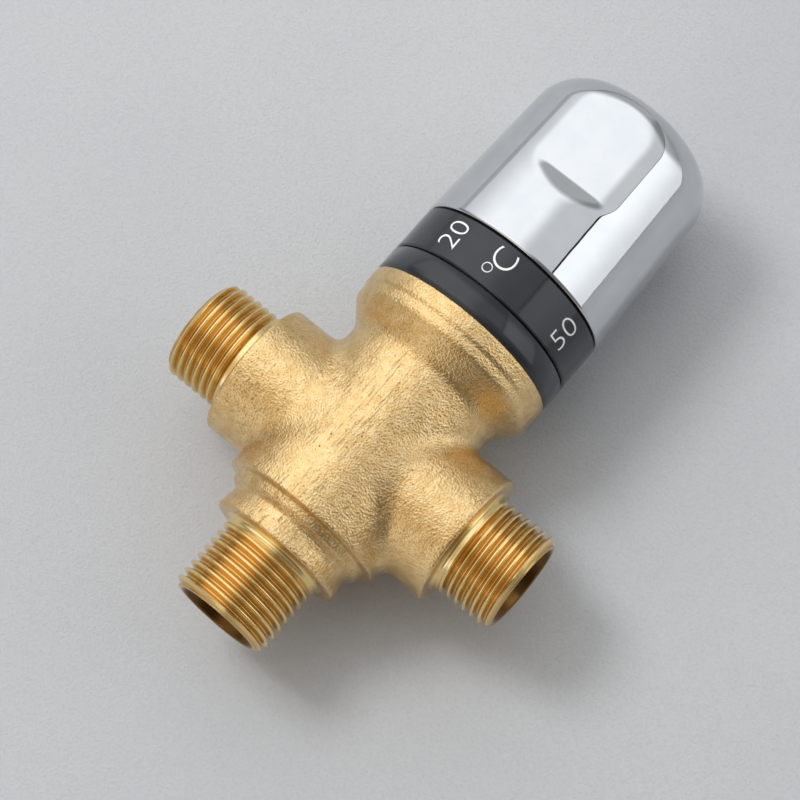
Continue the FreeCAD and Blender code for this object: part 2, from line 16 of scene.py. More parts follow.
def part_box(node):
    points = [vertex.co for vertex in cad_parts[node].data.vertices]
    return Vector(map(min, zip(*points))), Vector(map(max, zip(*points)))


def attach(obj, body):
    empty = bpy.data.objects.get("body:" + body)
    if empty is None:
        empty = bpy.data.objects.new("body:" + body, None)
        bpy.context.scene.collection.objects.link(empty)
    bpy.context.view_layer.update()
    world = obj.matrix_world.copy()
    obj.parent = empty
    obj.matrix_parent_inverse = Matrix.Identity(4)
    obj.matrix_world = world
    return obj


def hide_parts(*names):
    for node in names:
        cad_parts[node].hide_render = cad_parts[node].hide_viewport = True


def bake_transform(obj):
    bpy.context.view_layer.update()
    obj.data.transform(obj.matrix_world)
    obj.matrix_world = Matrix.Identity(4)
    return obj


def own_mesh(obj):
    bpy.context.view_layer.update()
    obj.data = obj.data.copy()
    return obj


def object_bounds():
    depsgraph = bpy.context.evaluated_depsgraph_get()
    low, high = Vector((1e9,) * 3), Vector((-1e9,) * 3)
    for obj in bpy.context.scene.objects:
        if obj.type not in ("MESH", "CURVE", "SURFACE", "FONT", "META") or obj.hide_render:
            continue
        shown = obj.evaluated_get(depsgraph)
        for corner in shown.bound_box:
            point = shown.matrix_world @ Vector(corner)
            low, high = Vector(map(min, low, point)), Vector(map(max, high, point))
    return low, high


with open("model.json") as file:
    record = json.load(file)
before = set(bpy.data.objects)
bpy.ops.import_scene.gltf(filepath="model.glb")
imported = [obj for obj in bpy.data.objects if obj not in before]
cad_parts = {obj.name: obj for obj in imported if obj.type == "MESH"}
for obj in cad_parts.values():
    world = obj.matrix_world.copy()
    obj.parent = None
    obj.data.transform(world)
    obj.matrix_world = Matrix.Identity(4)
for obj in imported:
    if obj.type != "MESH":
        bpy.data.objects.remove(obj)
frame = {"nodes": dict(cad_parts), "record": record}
cad_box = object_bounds()
MM = 0.001

# ---- places read from the frame, in metres
body_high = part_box("valve_body")[1]
ring_low, ring_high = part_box("scale_ring")
stop_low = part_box("stop_ring")[0]
knob_low, knob_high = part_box("knob")
check_low, check_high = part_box("cold_check_housing")
inlet_reach = body_high.x
body_top = stop_low.y
port_y = (check_low.y + check_high.y) / 2
knob_r = knob_high.x
ring_r = ring_high.x
ring_slit = 0.3 * MM        # between the fixed band and the scale ring
stop_face = ring_low.y - ring_slit
floor_z = cad_box[0].z

# ---- meshes
weld_gap = 1e-6             # points closer than this become one
sliver = 1e-7               # edges shorter than this are taken out
tiny = 1e-9                 # keeps a division off zero
edge_angle = 32.0           # turned pieces: degrees from which an edge is shaded sharp
thread_angle = 50.0
mark_angle = 40.0
cad_angle = 28.0

# ---- forging: _y is a place along the axis, _r a radius and _run a length along the skin
overlap = MM                # how far a cutter runs past the face that it opens
collar_y = 16.0 * MM
collar_r = 13.9 * MM
collar_edge_r = 0.6 * MM
neck_r = 13.3 * MM
neck_run = 1.2 * MM
neck_cove_r = 1.5 * MM
groove_y = 20.6 * MM
bead_r = 15.1 * MM
bead_run = 1.0 * MM
bead_rise = 0.4 * MM
bead_edge_r = 0.5 * MM
step_y = 23.6 * MM
step_run = 0.4 * MM
step_foot_r = 0.25 * MM
step_edge_r = 0.3 * MM
barrel_low_r = 17.0 * MM
barrel_top_r = 16.4 * MM
cove_low = port_y + 18.0 * MM
cove_high = port_y + 23.0 * MM
cove_low_r = 4.0 * MM
cove_high_r = 2.0 * MM
head_r = 20.3 * MM
land_r = 20.55 * MM
land_length = 3.3 * MM
land_run_before = 0.5 * MM  # slope that leads up to the land, before its start
land_run_after = 0.3 * MM   # and after it
land_foot_r = 0.6 * MM
land_edge_r = 0.3 * MM
hub_r = 13.8 * MM
hub_reach = 26.0 * MM
hub_edge_r = 0.6 * MM
root_blend = 2.0 * MM       # radius between a hub and the barrel
root_rounds = 12            # times that the skin is moved towards that fillet
root_depth = 0.6            # how deep under both skins a point is moved, in root_blend
root_slack = 0.02 * MM      # how deep a point lies at most to count as skin
root_steep = 0.05           # least slope that a move divides by
skin_run = 0.55 * MM        # longest face of the forging's skin
chamber_r = 13.0 * MM
chamber_floor = 24.5 * MM
head_bore_r = 15.5 * MM
shoulder_y = 61.0 * MM
pocket_r = 7.5 * MM
pocket_floor = 19.5 * MM
bore_run = 5.0 * MM         # longest face of its bores
barrel_columns = 192
hub_columns = 160
bore_columns = 96

# ---- threads
thread_pitch = 1.814 * MM
thread_crest_r = 10.46 * MM
thread_root_r = 9.32 * MM
thread_bore_r = 8.0 * MM
outlet_thread_end = 15.0 * MM
inlet_thread_end = 12.1 * MM
thread_flank = (0.14, 0.86)  # from crest to root, in half pitches from a crest's middle
thread_fade = 0.8           # length over which the thread runs out, in pitches
lead_in_drop = 0.05 * MM    # how far under the root the lead-in chamfer starts
lead_in_slope = 1.1         # its rise over its run
root_fillet_r = 0.8 * MM    # between a spigot and the face that it stands on
mouth_chamfer = 0.5 * MM
inlet_mouth = 7.2 * MM      # depth over which an inlet's mouth narrows to its pocket
outlet_mouth = 15.0 * MM    # the same for the outlet, whose bore keeps its width
thread_columns = 144
rows_per_turn = 14
bore_rows = 4               # rows that make the bore and the end face

# ---- knob
knob_taper = 0.039
knob_corner_r = 9.7 * MM
knob_rim_r = 0.4 * MM
knob_bore_r = 15.5 * MM
knob_roof = 2.4 * MM        # thickness over the bore
knob_crown = 1.0 * MM
knob_crown_r = 40.0 * MM
knob_crown_flat = 5.0 * MM
flat_depth = 1.8 * MM
flat_start = knob_low.y + 17.0 * MM
flat_slope = 0.6            # rise over run of the wall between a flat and the knob's side
flat_edge_r = 0.85 * MM
flat_foot_r = 0.35 * MM
press_reach = 8 * MM        # deepest that a point is pressed in
press_halvings = 28
wall_gap = 0.1 * MM         # keeps the shell's inner wall from being pressed
knob_run = 0.34 * MM        # longest face of its skin
knob_columns = 400

# ---- black lip in the slit under the scale ring, a dark filler that stands in for the slit's shade
lip_inner_r = 17.3 * MM
lip_outer_r = 19.7 * MM
lip_rise = 0.22 * MM        # above the band's face
lip_bite = 0.1 * MM         # below it

# ---- marks on the scale ring
mark_height = 4.6 * MM
mark_em = 1.4               # text size over the height of its figures
mark_thinning = 0.026       # taken off each side of a stroke, over mark_height
mark_relief = 0.05 * MM     # above and below the ring's face
mark_strips = 24            # strips that let a mark wrap round the ring
mark_span = 1.4             # width that the strips cover, over the text size
marks = (                   # text, size, middle along the axis in mm, degrees from +Z to +X
    ("20", 1.0, 80.2, -29.5),
    ("50", 1.0, 79.7, 53.5),
    ("o", 0.74, 78.3, -3.6),
    ("C", 1.06, 81.4, 2.4),
)

# ---- camera and room
lens_length = 119.93        # in millimetres, as is the width of the sensor
sensor_width = 36.0
clip_near = 0.02
clip_far = 20.0
eye_target = Vector((-0.00106, 0.05341, 0.0))
eye_azimuth = -48.06        # degrees, from +X towards +Y
eye_elevation = 73.10
eye_roll = -2.04
eye_distance = 0.49957
floor_reach = 6.0
lamp_aim = Vector((0.0, 0.055, 0.0))


# ---- node trees
class Value:
    """An output socket that takes part in ordinary arithmetic."""

    def __init__(self, tree, socket):
        self.tree = tree
        self.socket = socket

    def maths(self, operation, *others):
        return self.tree.add("ShaderNodeMath", {"operation": operation}, (self, *others))

    def __add__(self, other):
        return self.maths("ADD", other)

    def __sub__(self, other):
        return self.maths("SUBTRACT", other)

    def __mul__(self, other):
        return self.maths("MULTIPLY", other)

    def __truediv__(self, other):
        return self.maths("DIVIDE", other)

    def __pow__(self, other):
        return self.maths("POWER", other)

    def __rsub__(self, other):
        return self.tree.add("ShaderNodeMath", {"operation": "SUBTRACT"}, (other, self))

    __radd__ = __add__

    def low(self, other):
        return self.maths("MINIMUM", other)

    def high(self, other):
        return self.maths("MAXIMUM", other)

    def ramp(self, start, end):
        """0 below start, 1 above end, smooth between."""
        return self.tree.add("ShaderNodeMapRange", {"interpolation_type": "SMOOTHSTEP"},
                             {0: self, 1: start, 2: end})


class Tree:
    """A node tree that is filled one node at a time."""

    def __init__(self, tree):
        self.tree = tree

    def add(self, kind, settings=None, inputs=(), output=0):
        node = self.tree.nodes.new(kind)
        for name, value in (settings or {}).items():
            setattr(node, name, value)
        pairs = inputs.items() if isinstance(inputs, dict) else enumerate(inputs)
        for key, value in pairs:
            if isinstance(value, Value):
                self.tree.links.new(value.socket, node.inputs[key])
            else:
                node.inputs[key].default_value = value
        return Value(self, node.outputs[output]) if len(node.outputs) else None

    def axes(self, vector):
        """X, Y and Z of a vector."""
        return [self.add("ShaderNodeSeparateXYZ", {}, {0: vector}, i) for i in range(3)]

    def mix(self, factor, a, b):
        """Mixes two colours."""
        return self.add("ShaderNodeMix", {"data_type": "RGBA"}, {0: factor, 6: a, 7: b}, 2)


def rgb(red, green, blue):
    """Linear colour of a shade written as on a colour card, 0 to 255."""
    steps = [c / 255 for c in (red, green, blue)]
    linear = [s / 12.92 if s <= 0.04045 else ((s + 0.055) / 1.055) ** 2.4 for s in steps]
    return (*linear, 1.0)


class Finish(Tree):
    """A material whose patterns run on millimetres of the piece's own space."""

    def __init__(self, name):
        self.material = bpy.data.materials.new(name)
        self.material.use_nodes = True
        super().__init__(self.material.node_tree)
        self.tree.nodes.clear()
        place = self.add("ShaderNodeTexCoord", output=3)
        self.mm = self.add("ShaderNodeVectorMath", {"operation": "SCALE"}, {0: place, 3: 1 / MM})

    def stretched(self, turn, scale):
        """Places turned by radians and scaled along each axis."""
        return self.add("ShaderNodeMapping", {}, {0: self.mm, 2: turn, 3: scale})

    def noise(self, scale, detail=3.0, rough=0.55, where=None):
        """Cloudy pattern with about scale lumps to the millimetre."""
        return self.add("ShaderNodeTexNoise", {}, {"Vector": where or self.mm, "Scale": scale,
                                                   "Detail": detail, "Roughness": rough})

    def cells(self, scale):
        """Distance to the nearest cell's middle, with about scale cells to the millimetre."""
        return self.add("ShaderNodeTexVoronoi", {}, {"Vector": self.mm, "Scale": scale})

    def bump(self, height):
        """Normal of a surface raised by height, in millimetres."""
        return self.add("ShaderNodeBump", {}, {"Strength": 1.0, "Distance": MM, "Height": height})

    def close(self, **sockets):
        """Ends the material with a shader; base_color is its Base Color socket, and so on."""
        names = {key.replace("_", " ").title(): value for key, value in sockets.items()}
        shader = self.add("ShaderNodeBsdfPrincipled", {}, names)
        self.add("ShaderNodeOutputMaterial", {}, {0: shader})
        return self.material


# ---- finishes
def forged_brass():
    skin = Finish("forged_brass")
    grain = skin.noise(2.2, 4.0, 0.65)
    sand = skin.cells(2.2)
    lumps = skin.noise(0.5, 3.0)
    swell = skin.noise(0.12, 2.0)
    pits = 1 - skin.cells(0.45).ramp(0.0, 0.1)
    pits = pits * skin.noise(0.09, 1.0).ramp(0.48, 0.58)
    scratch_way = skin.stretched((0.0, 0.0, math.radians(-8)), (2.6, 0.16, 2.6))
    scratches = skin.noise(1.0, 2.0, 0.4, scratch_way).ramp(0.6, 0.66)
    scratches = scratches * skin.noise(0.08, 1.0).ramp(0.5, 0.58)
    tone = skin.mix(lumps.ramp(0.3, 0.7), rgb(228, 192, 132), rgb(242, 211, 156))
    tone = skin.mix((1 - grain.ramp(0.36, 0.42)) * 0.6, tone, rgb(176, 130, 70))  # flecks
    tone = skin.mix(pits * 0.7, tone, rgb(92, 62, 30))                            # darker in the pits
    height = grain * 0.12 + sand * 0.07 + lumps * 0.04 + swell * 0.3
    height = height - pits * 0.15 - scratches * 0.14
    return skin.close(base_color=tone, metallic=1.0, roughness=0.14 + lumps * 0.1,
                      normal=skin.bump(height))


def machined_brass():
    cut = Finish("machined_brass")
    x, y, z = cut.axes(cut.mm)
    y = y - port_y / MM
    out = ((x * x).low(y * y) + z * z) ** 0.5   # distance from the nearest port's axis
    fine = cut.noise(3.0, 3.0, 0.6)
    stain = cut.noise(0.25, 2.0)
    tone = cut.mix(stain.ramp(0.35, 0.7), rgb(244, 217, 156), rgb(237, 206, 140))
    tone = cut.mix(1 - out.ramp(9.4, 10.3), tone, rgb(214, 172, 104))   # painted shade: darker towards the thread's root
    tone = cut.mix(1 - out.ramp(8.3, 8.8), tone, rgb(104, 74, 38))      # painted shade: dark inside the bore
    tone = cut.mix(1 - fine.ramp(0.22, 0.4), tone, rgb(150, 104, 44))   # flecks
    return cut.close(base_color=tone, metallic=1.0, roughness=0.16 + fine * 0.12,
                     normal=cut.bump(fine * 0.015))


def chrome():
    plate = Finish("chrome")
    haze = plate.noise(0.2, 2.0)
    peel = plate.noise(0.35, 1.0)
    tone = plate.mix(haze.ramp(0.3, 0.7), rgb(208, 211, 214), rgb(203, 207, 211))
    return plate.close(base_color=tone, metallic=1.0, roughness=0.02 + haze * 0.02,
                       normal=plate.bump(peel * 0.01))


def black_plastic():
    shell = Finish("black_plastic")
    grain = shell.noise(5.0, 2.0)
    rub = shell.noise(0.3, 2.0)
    tone = shell.mix(rub.ramp(0.35, 0.75), rgb(38, 41, 47), rgb(42, 45, 51))
    return shell.close(base_color=tone, roughness=0.1 + rub * 0.04,
                       normal=shell.bump(grain * 0.004))


def white_print():
    ink = Finish("white_print")
    wear = ink.noise(1.5, 2.0)
    tone = ink.mix(wear.ramp(0.4, 0.75), rgb(244, 246, 248), rgb(226, 229, 233))
    return ink.close(base_color=tone, roughness=0.4 + wear * 0.1, normal=ink.bump(wear * 0.01))


def white_plastic():
    shell = Finish("white_plastic")
    cloud = shell.noise(0.4, 2.0)
    tone = shell.mix(cloud.ramp(0.3, 0.7), rgb(226, 226, 220), rgb(214, 214, 207))
    return shell.close(base_color=tone, roughness=0.38 + cloud * 0.1,
                       normal=shell.bump(shell.noise(4.0) * 0.008))


def spring_steel():
    wire = Finish("spring_steel")
    drawn = wire.noise(3.0, 3.0)
    tone = wire.mix(drawn.ramp(0.3, 0.7), rgb(196, 198, 202), rgb(168, 171, 177))
    return wire.close(base_color=tone, metallic=1.0, roughness=0.2 + drawn * 0.14,
                      normal=wire.bump(drawn * 0.008))


def seal_rubber():
    ring = Finish("seal_rubber")
    bloom = ring.noise(0.8, 2.0)
    tone = ring.mix(bloom.ramp(0.35, 0.7), rgb(30, 30, 31), rgb(44, 44, 45))
    return ring.close(base_color=tone, roughness=0.55 + bloom * 0.2,
                      normal=ring.bump(ring.noise(5.0) * 0.01))


# Keyed by the record's material slots; the marks' print has no slot of its own there.
finishes = {maker.__name__: maker() for maker in (
    forged_brass, machined_brass, chrome, black_plastic, white_plastic, spring_steel, seal_rubber)}
ink = white_print()


# ---- shapes
def placed(name, data):
    """Object of some data, put into the scene."""
    thing = bpy.data.objects.new(name, data)
    bpy.context.scene.collection.objects.link(thing)
    return thing


def rounded(corners, run):
    """Outline through corners (along, out[, radius]), with no piece longer than run."""
    points = [np.array(c[:2], float) for c in corners]
    outline = [points[0]]
    for i in range(1, len(points) - 1):
        corner = points[i]
        radius = corners[i][2] if len(corners[i]) > 2 else 0.0
        if radius == 0.0:
            outline.append(corner)
            continue
        before = points[i - 1] - corner
        after = points[i + 1] - corner
        before = before / np.linalg.norm(before)
        after = after / np.linalg.norm(after)
        half = math.acos(np.clip(before @ after, -1, 1)) / 2
        middle = (before + after) / np.linalg.norm(before + after)
        hub = corner + middle * radius / math.sin(half)
        first = corner + before * radius / math.tan(half) - hub
        sweep = math.pi - 2 * half
        turn = np.sign(before[1] * after[0] - before[0] * after[1])
        steps = max(3, math.ceil(sweep * radius / run))
        for k in range(steps + 1):
            angle = turn * sweep * k / steps
            c, s = math.cos(angle), math.sin(angle)
            spoke = (first[0] * c - first[1] * s, first[0] * s + first[1] * c)
            outline.append(hub + np.array(spoke))
    outline.append(points[-1])
    fine = [outline[0]]
    for start, end in zip(outline, outline[1:]):
        pieces = max(1, math.ceil(np.linalg.norm(end - start) / run))
        fine += [start + (end - start) * k / pieces for k in range(1, pieces + 1)]
    return np.array(fine)


def lathe(name, outline, columns, finish, closed=False):
    """Piece turned about the valve's axis from (along, out) points; closed joins last to first."""
    rows = len(outline)
    angles = np.arange(columns) * 2 * math.pi / columns
    along, out = outline[:, 0][:, None], outline[:, 1][:, None]
    places = np.stack([out * np.sin(angles), along + 0 * angles, out * np.cos(angles)], axis=2)
    faces = []
    for i in range(rows if closed else rows - 1):
        for j in range(columns):
            low, high = i * columns, (i + 1) % rows * columns
            k = (j + 1) % columns
            faces.append((low + j, low + k, high + k, high + j))
    mesh = bpy.data.meshes.new(name)
    mesh.from_pydata(places.reshape(-1, 3).tolist(), [], faces)
    return tidy(mesh, name, finish)


def tidy(mesh, name, finish, sharp=edge_angle):
    """Object of a mesh: doubles merged, faces outward, smooth apart from its sharp edges."""
    work = bmesh.new()
    work.from_mesh(mesh)
    bmesh.ops.remove_doubles(work, verts=work.verts, dist=weld_gap)
    bmesh.ops.dissolve_degenerate(work, edges=work.edges, dist=sliver)
    bmesh.ops.recalc_face_normals(work, faces=work.faces)
    work.to_mesh(mesh)
    work.free()
    mesh.shade_smooth()
    mesh.set_sharp_from_angle(angle=math.radians(sharp))
    mesh.materials.clear()
    mesh.materials.append(finish)
    return placed(name, mesh)


def remade(piece, finish, sharp=edge_angle):
    """Object made again from a piece's mesh, tidied."""
    mesh = piece.data
    name = piece.name
    bpy.data.objects.remove(piece)
    return tidy(mesh, name, finish, sharp)


def bake(piece):
    """Applies a piece's modifiers, so that it is a plain mesh."""
    graph = bpy.context.evaluated_depsgraph_get()
    mesh = bpy.data.meshes.new_from_object(piece.evaluated_get(graph))
    piece.modifiers.clear()
    old = piece.data
    piece.data = mesh
    bpy.data.meshes.remove(old)


def join(piece, others, operation):
    """Adds others to a piece or cuts them from it; they are used up."""
    for other in others:
        step = piece.modifiers.new(other.name, "BOOLEAN")
        step.operation = operation
        step.solver = "MANIFOLD"
        step.object = other
    bpy.context.view_layer.update()
    bake(piece)
    for other in others:
        bpy.data.objects.remove(other)


def at_inlet(piece, side):
    """Turns a piece from the valve's axis into the inlet on side -1 or +1."""
    piece.data.transform(Matrix.Rotation(-math.pi / 2 * side, 4, "Z"))
    piece.data.transform(Matrix.Translation((0, port_y, 0)))
    return piece


def mesh_places(mesh):
    """Places of a mesh's points, as rows of x, y and z."""
    places = np.empty(len(mesh.vertices) * 3)
    mesh.vertices.foreach_get("co", places)
    return places.reshape(-1, 3)


def set_places(mesh, places):
    """Moves a mesh's points to places."""
    mesh.vertices.foreach_set("co", places.ravel())
    mesh.update()


# ---- forging
def blend_roots(mesh):
    """Rounds the corner between hubs and barrel: moves the skin out onto a fillet."""
    places = mesh_places(mesh)
    taper = (barrel_low_r - barrel_top_r) / (cove_low - step_y)
    for _ in range(root_rounds):
        x, y, z = places.T
        from_axis = np.maximum(np.hypot(x, z), tiny)
        from_hub = np.maximum(np.hypot(y - port_y, z), tiny)
        barrel = from_axis - barrel_low_r + taper * (y - step_y)
        hub = from_hub - hub_r
        a = np.maximum(root_blend - barrel, 0)
        b = np.maximum(root_blend - hub, 0)
        reach = np.maximum(np.hypot(a, b), tiny)
        short = root_blend - reach
        skin = (np.minimum(barrel, hub) > -root_slack) | (short < 0)
        near = skin & (a > 0) & (b > 0) & (np.minimum(barrel, hub) > -root_depth * root_blend)
        slope = np.zeros_like(places)
        slope[:, 0] = a * x / from_axis
        slope[:, 1] = a * taper + b * (y - port_y) / from_hub
        slope[:, 2] = a * z / from_axis + b * z / from_hub
        slope /= reach[:, None]
        steep = np.maximum((slope ** 2).sum(axis=1), root_steep)
        places[near] -= (slope * (short / steep)[:, None])[near]
    set_places(mesh, places)


def forging():
    """Forged cross: turned barrel and hubs joined, their roots blended and the bores cut."""
    brass = finishes["forged_brass"]
    land_low = body_top - land_length
    barrel = lathe("forged_cross", rounded([
        (collar_y, 0),
        (collar_y, collar_r, collar_edge_r),
        (groove_y - neck_run, neck_r, neck_cove_r),
        (groove_y, neck_r, bead_edge_r),
        (groove_y + bead_run, bead_r - bead_rise, bead_edge_r),
        (step_y - step_run, bead_r, step_foot_r),
        (step_y, barrel_low_r, step_edge_r),
        (cove_low, barrel_top_r, cove_low_r),
        (cove_high, head_r, cove_high_r),
        (land_low - land_run_before, head_r, land_foot_r),
        (land_low + land_run_after, land_r, land_foot_r),
        (body_top, land_r, land_edge_r),
        (body_top, 0)], skin_run), barrel_columns, brass)
    hubs = [at_inlet(lathe("hub", rounded([
        (0.0, 0.0), (0.0, hub_r), (hub_reach, hub_r, hub_edge_r), (hub_reach, 0.0)], skin_run),
        hub_columns, brass), side) for side in (-1, 1)]
    join(barrel, hubs, "UNION")
    blend_roots(barrel.data)
    bores = [
        lathe("chamber", rounded([
            (chamber_floor, 0), (chamber_floor, chamber_r), (shoulder_y, chamber_r),
            (shoulder_y, head_bore_r), (body_top + overlap, head_bore_r),
            (body_top + overlap, 0)], bore_run), bore_columns, brass),
        lathe("outlet_way", rounded([
            (collar_y - overlap, 0), (collar_y - overlap, thread_bore_r),
            (chamber_floor + overlap, thread_bore_r), (chamber_floor + overlap, 0)],
            bore_run), bore_columns, brass)]
    for side in (-1, 1):
        bores.append(at_inlet(lathe("pocket", rounded([
            (pocket_floor, 0), (pocket_floor, pocket_r), (hub_reach + overlap, pocket_r),
            (hub_reach + overlap, 0)], bore_run), bore_columns, brass), side))
    join(barrel, bores, "DIFFERENCE")
    return remade(barrel, brass)


# ---- threads
thread_inputs = (
    ("Length", "length"), ("Crest Radius", "crest"), ("Root Radius", "root"), ("Pitch", "pitch"),
    ("Thread End", "thread_end"), ("Bore Radius", "bore"), ("Mouth Depth", "mouth_depth"),
    ("Deep Bore Radius", "deep_bore"))


def thread_tree():
    """Male spigot along +Y from its end at 0: helical thread, chamfer, end face and bore."""
    group = bpy.data.node_groups.new("threaded_spigot", "GeometryNodeTree")
    group.interface.new_socket("Geometry", in_out="OUTPUT", socket_type="NodeSocketGeometry")
    sockets = {}
    for label, key in thread_inputs:
        sockets[key] = group.interface.new_socket(label, in_out="INPUT",
                                                  socket_type="NodeSocketFloat")
    sockets["rows"] = group.interface.new_socket("Rows", in_out="INPUT",
                                                 socket_type="NodeSocketInt")
    sockets["finish"] = group.interface.new_socket("Finish", in_out="INPUT",
                                                   socket_type="NodeSocketMaterial")
    tree = Tree(group)
    entry = group.nodes.new("NodeGroupInput")
    given = {key: Value(tree, entry.outputs[i]) for i, key in enumerate(sockets)}
    rows = given["rows"]
    grid = tree.add("GeometryNodeMeshGrid", {}, {0: 1.0, 1: 1.0, 2: rows, 3: thread_columns + 1})
    place = tree.add("GeometryNodeInputPosition")
    across, around, _ = tree.axes(place)
    row = ((across + 0.5) * (rows - 1)).maths("ROUND")
    turn = around + 0.5
    phase = (row - bore_rows) / rows_per_turn
    along = ((phase - turn) * given["pitch"]).high(0.0).low(given["length"])
    groove = ((phase.maths("FRACT") - 0.5).maths("ABSOLUTE") * 2).ramp(*thread_flank)
    fade = ((given["thread_end"] - along) / (given["pitch"] * thread_fade)).high(0.0).low(1.0)
    depth = (given["crest"] - given["root"]) * groove * fade
    foot = (given["length"] - along).low(root_fillet_r)
    fillet = root_fillet_r - (
        root_fillet_r ** 2 - (root_fillet_r - foot) ** 2).high(0.0).maths("SQRT")
    lead_in = given["root"] - lead_in_drop + along * lead_in_slope
    radius = (given["crest"] - depth).low(lead_in) + fillet
    # Rows 0 to 3 run from the deep bore to the end face, and the last row meets row 0.
    is_deep = row.maths("LESS_THAN", 0.5)
    is_step = row.maths("COMPARE", 1.0, 0.1)
    is_mouth = row.maths("COMPARE", 2.0, 0.1)
    is_face = row.maths("COMPARE", 3.0, 0.1)
    is_last = row.maths("GREATER_THAN", rows - 1.5)
    shut = is_deep.high(is_last)
    bored = shut.high(is_step).high(is_mouth).high(is_face)
    bore_radius = (shut * given["deep_bore"] + is_step * given["deep_bore"]
                   + is_mouth * given["bore"] + is_face * (given["bore"] + mouth_chamfer))
    bore_along = shut * given["length"] + is_step * given["mouth_depth"] + is_mouth * mouth_chamfer
    radius = radius * (1 - bored) + bore_radius
    along = along * (1 - bored) + bore_along
    angle = turn * (2 * math.pi)
    spot = tree.add("ShaderNodeCombineXYZ", {}, (
        radius * angle.maths("SINE"), along, radius * angle.maths("COSINE")))
    shaped = tree.add("GeometryNodeSetPosition", {}, {0: grid, 2: spot})
    welded = tree.add("GeometryNodeMergeByDistance", {}, {"Geometry": shaped, "Distance": weld_gap})
    real = tree.add("GeometryNodeRealizeInstances", {}, {0: welded})
    coated = tree.add("GeometryNodeSetMaterial", {}, {
        "Geometry": real, "Material": given["finish"]})
    leave = group.nodes.new("NodeGroupOutput")
    group.links.new(coated.socket, leave.inputs[0])
    return group, {key: socket.identifier for key, socket in sockets.items()}


spigot_group, spigot_sockets = thread_tree()


def spigot(name, length, thread_end, mouth_depth, deep_bore):
    """Threaded spigot from its end at 0, with deep_bore beyond mouth_depth."""
    piece = placed(name, bpy.data.meshes.new(name))
    maker = piece.modifiers.new("threaded_spigot", "NODES")
    maker.node_group = spigot_group
    turns = length / thread_pitch + 1
    sizes = {
        "length": length, "crest": thread_crest_r, "root": thread_root_r, "pitch": thread_pitch,
        "thread_end": thread_end, "bore": thread_bore_r, "mouth_depth": mouth_depth,
        "deep_bore": deep_bore, "rows": math.ceil(turns * rows_per_turn) + bore_rows + 2,
        "finish": finishes["machined_brass"]}
    for key, value in sizes.items():
        maker[spigot_sockets[key]] = value
    bpy.context.view_layer.update()
    bake(piece)
    return remade(piece, finishes["machined_brass"], thread_angle)


def threads():
    """The outlet's and both inlets' threads; an inlet's end lies at the part's widest."""
    outlet = spigot("outlet_thread", collar_y, outlet_thread_end, outlet_mouth, thread_bore_r)
    pieces = [outlet]
    for name, side in (("hot_inlet_thread", -1), ("cold_inlet_thread", 1)):
        piece = spigot(name, inlet_reach - hub_reach, inlet_thread_end, inlet_mouth, pocket_r)
        piece.data.transform(Matrix.Scale(-1, 4, (0, 1, 0)))
        piece.data.transform(Matrix.Translation((0, inlet_reach, 0)))
        piece.data.flip_normals()
        pieces.append(at_inlet(piece, side))
    return pieces


# ---- knob
def smooth_join(a, b, radius):
    """Lower of two distances, with a fillet of radius where they meet."""
    u = np.maximum(radius - a, 0)
    v = np.maximum(radius - b, 0)
    return np.maximum(radius, np.minimum(a, b)) - np.hypot(u, v)


def press_flats(mesh, outer):
    """Presses the two finger flats into the knob's outer points by moving them inward."""
    places = mesh_places(mesh)
    normals = np.array([v.normal[:] for v in mesh.vertices])
    foot = knob_r - flat_depth - knob_taper * (flat_start - knob_low.y)
    for side in (-1, 1):
        low = np.zeros(len(places))
        high = np.full(len(places), press_reach)
        for _ in range(press_halvings):
            middle = (low + high) / 2
            y, z = (places - normals * middle[:, None])[:, 1:].T
            floor = z * side - foot + knob_taper * (y - flat_start)
            wall = ((y - flat_start) * flat_slope + z * side - foot) / math.hypot(1, flat_slope)
            cut = smooth_join(floor, wall, flat_foot_r)
            outside = -smooth_join(middle, -cut, flat_edge_r) > 0
            low = np.where(outside, middle, low)
            high = np.where(outside, high, middle)
        places = places - normals * (low * outer)[:, None]
    set_places(mesh, places)


def knob():
    """Chromed shell: plain inner wall and roof, tapered outside with two finger flats."""
    crown_y = knob_high.y - knob_crown
    crown_r = knob_r - knob_taper * (crown_y - knob_low.y)
    roof_y = knob_high.y - knob_crown - knob_roof
    inside = [(roof_y, 0), (roof_y, knob_bore_r)]
    outside = rounded([
        (knob_low.y, knob_bore_r),
        (knob_low.y, knob_r, knob_rim_r),
        (crown_y, crown_r, knob_corner_r),
        (knob_high.y, knob_crown_flat, knob_crown_r),
        (knob_high.y, 0)], knob_run)
    shell = lathe("chrome_knob", np.vstack((inside, outside)), knob_columns, finishes["chrome"])
    x, y, z = mesh_places(shell.data).T
    outer = (np.hypot(x, z) > knob_bore_r + wall_gap) | (y > roof_y + wall_gap)
    press_flats(shell.data, outer)
    return shell


# ---- rings and marks
def smooth_copy(node, name, finish):
    """Copy of a CAD piece with its curved faces shaded smooth."""
    piece = tidy(frame["nodes"][node].data.copy(), name, finishes[finish], cad_angle)
    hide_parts(node)
    return piece


def slit_shade_lip():
    """Black ledge on the fixed band that closes the slit under the scale ring: painted shade, a
    dark filler where the slit's shade would be.
    """
    return lathe("slit_shade_lip", np.array([
        (stop_face - lip_bite, lip_inner_r), (stop_face + lip_rise, lip_inner_r),
        (stop_face + lip_rise, lip_outer_r), (stop_face - lip_bite, lip_outer_r)]),
        barrel_columns, finishes["black_plastic"], closed=True)


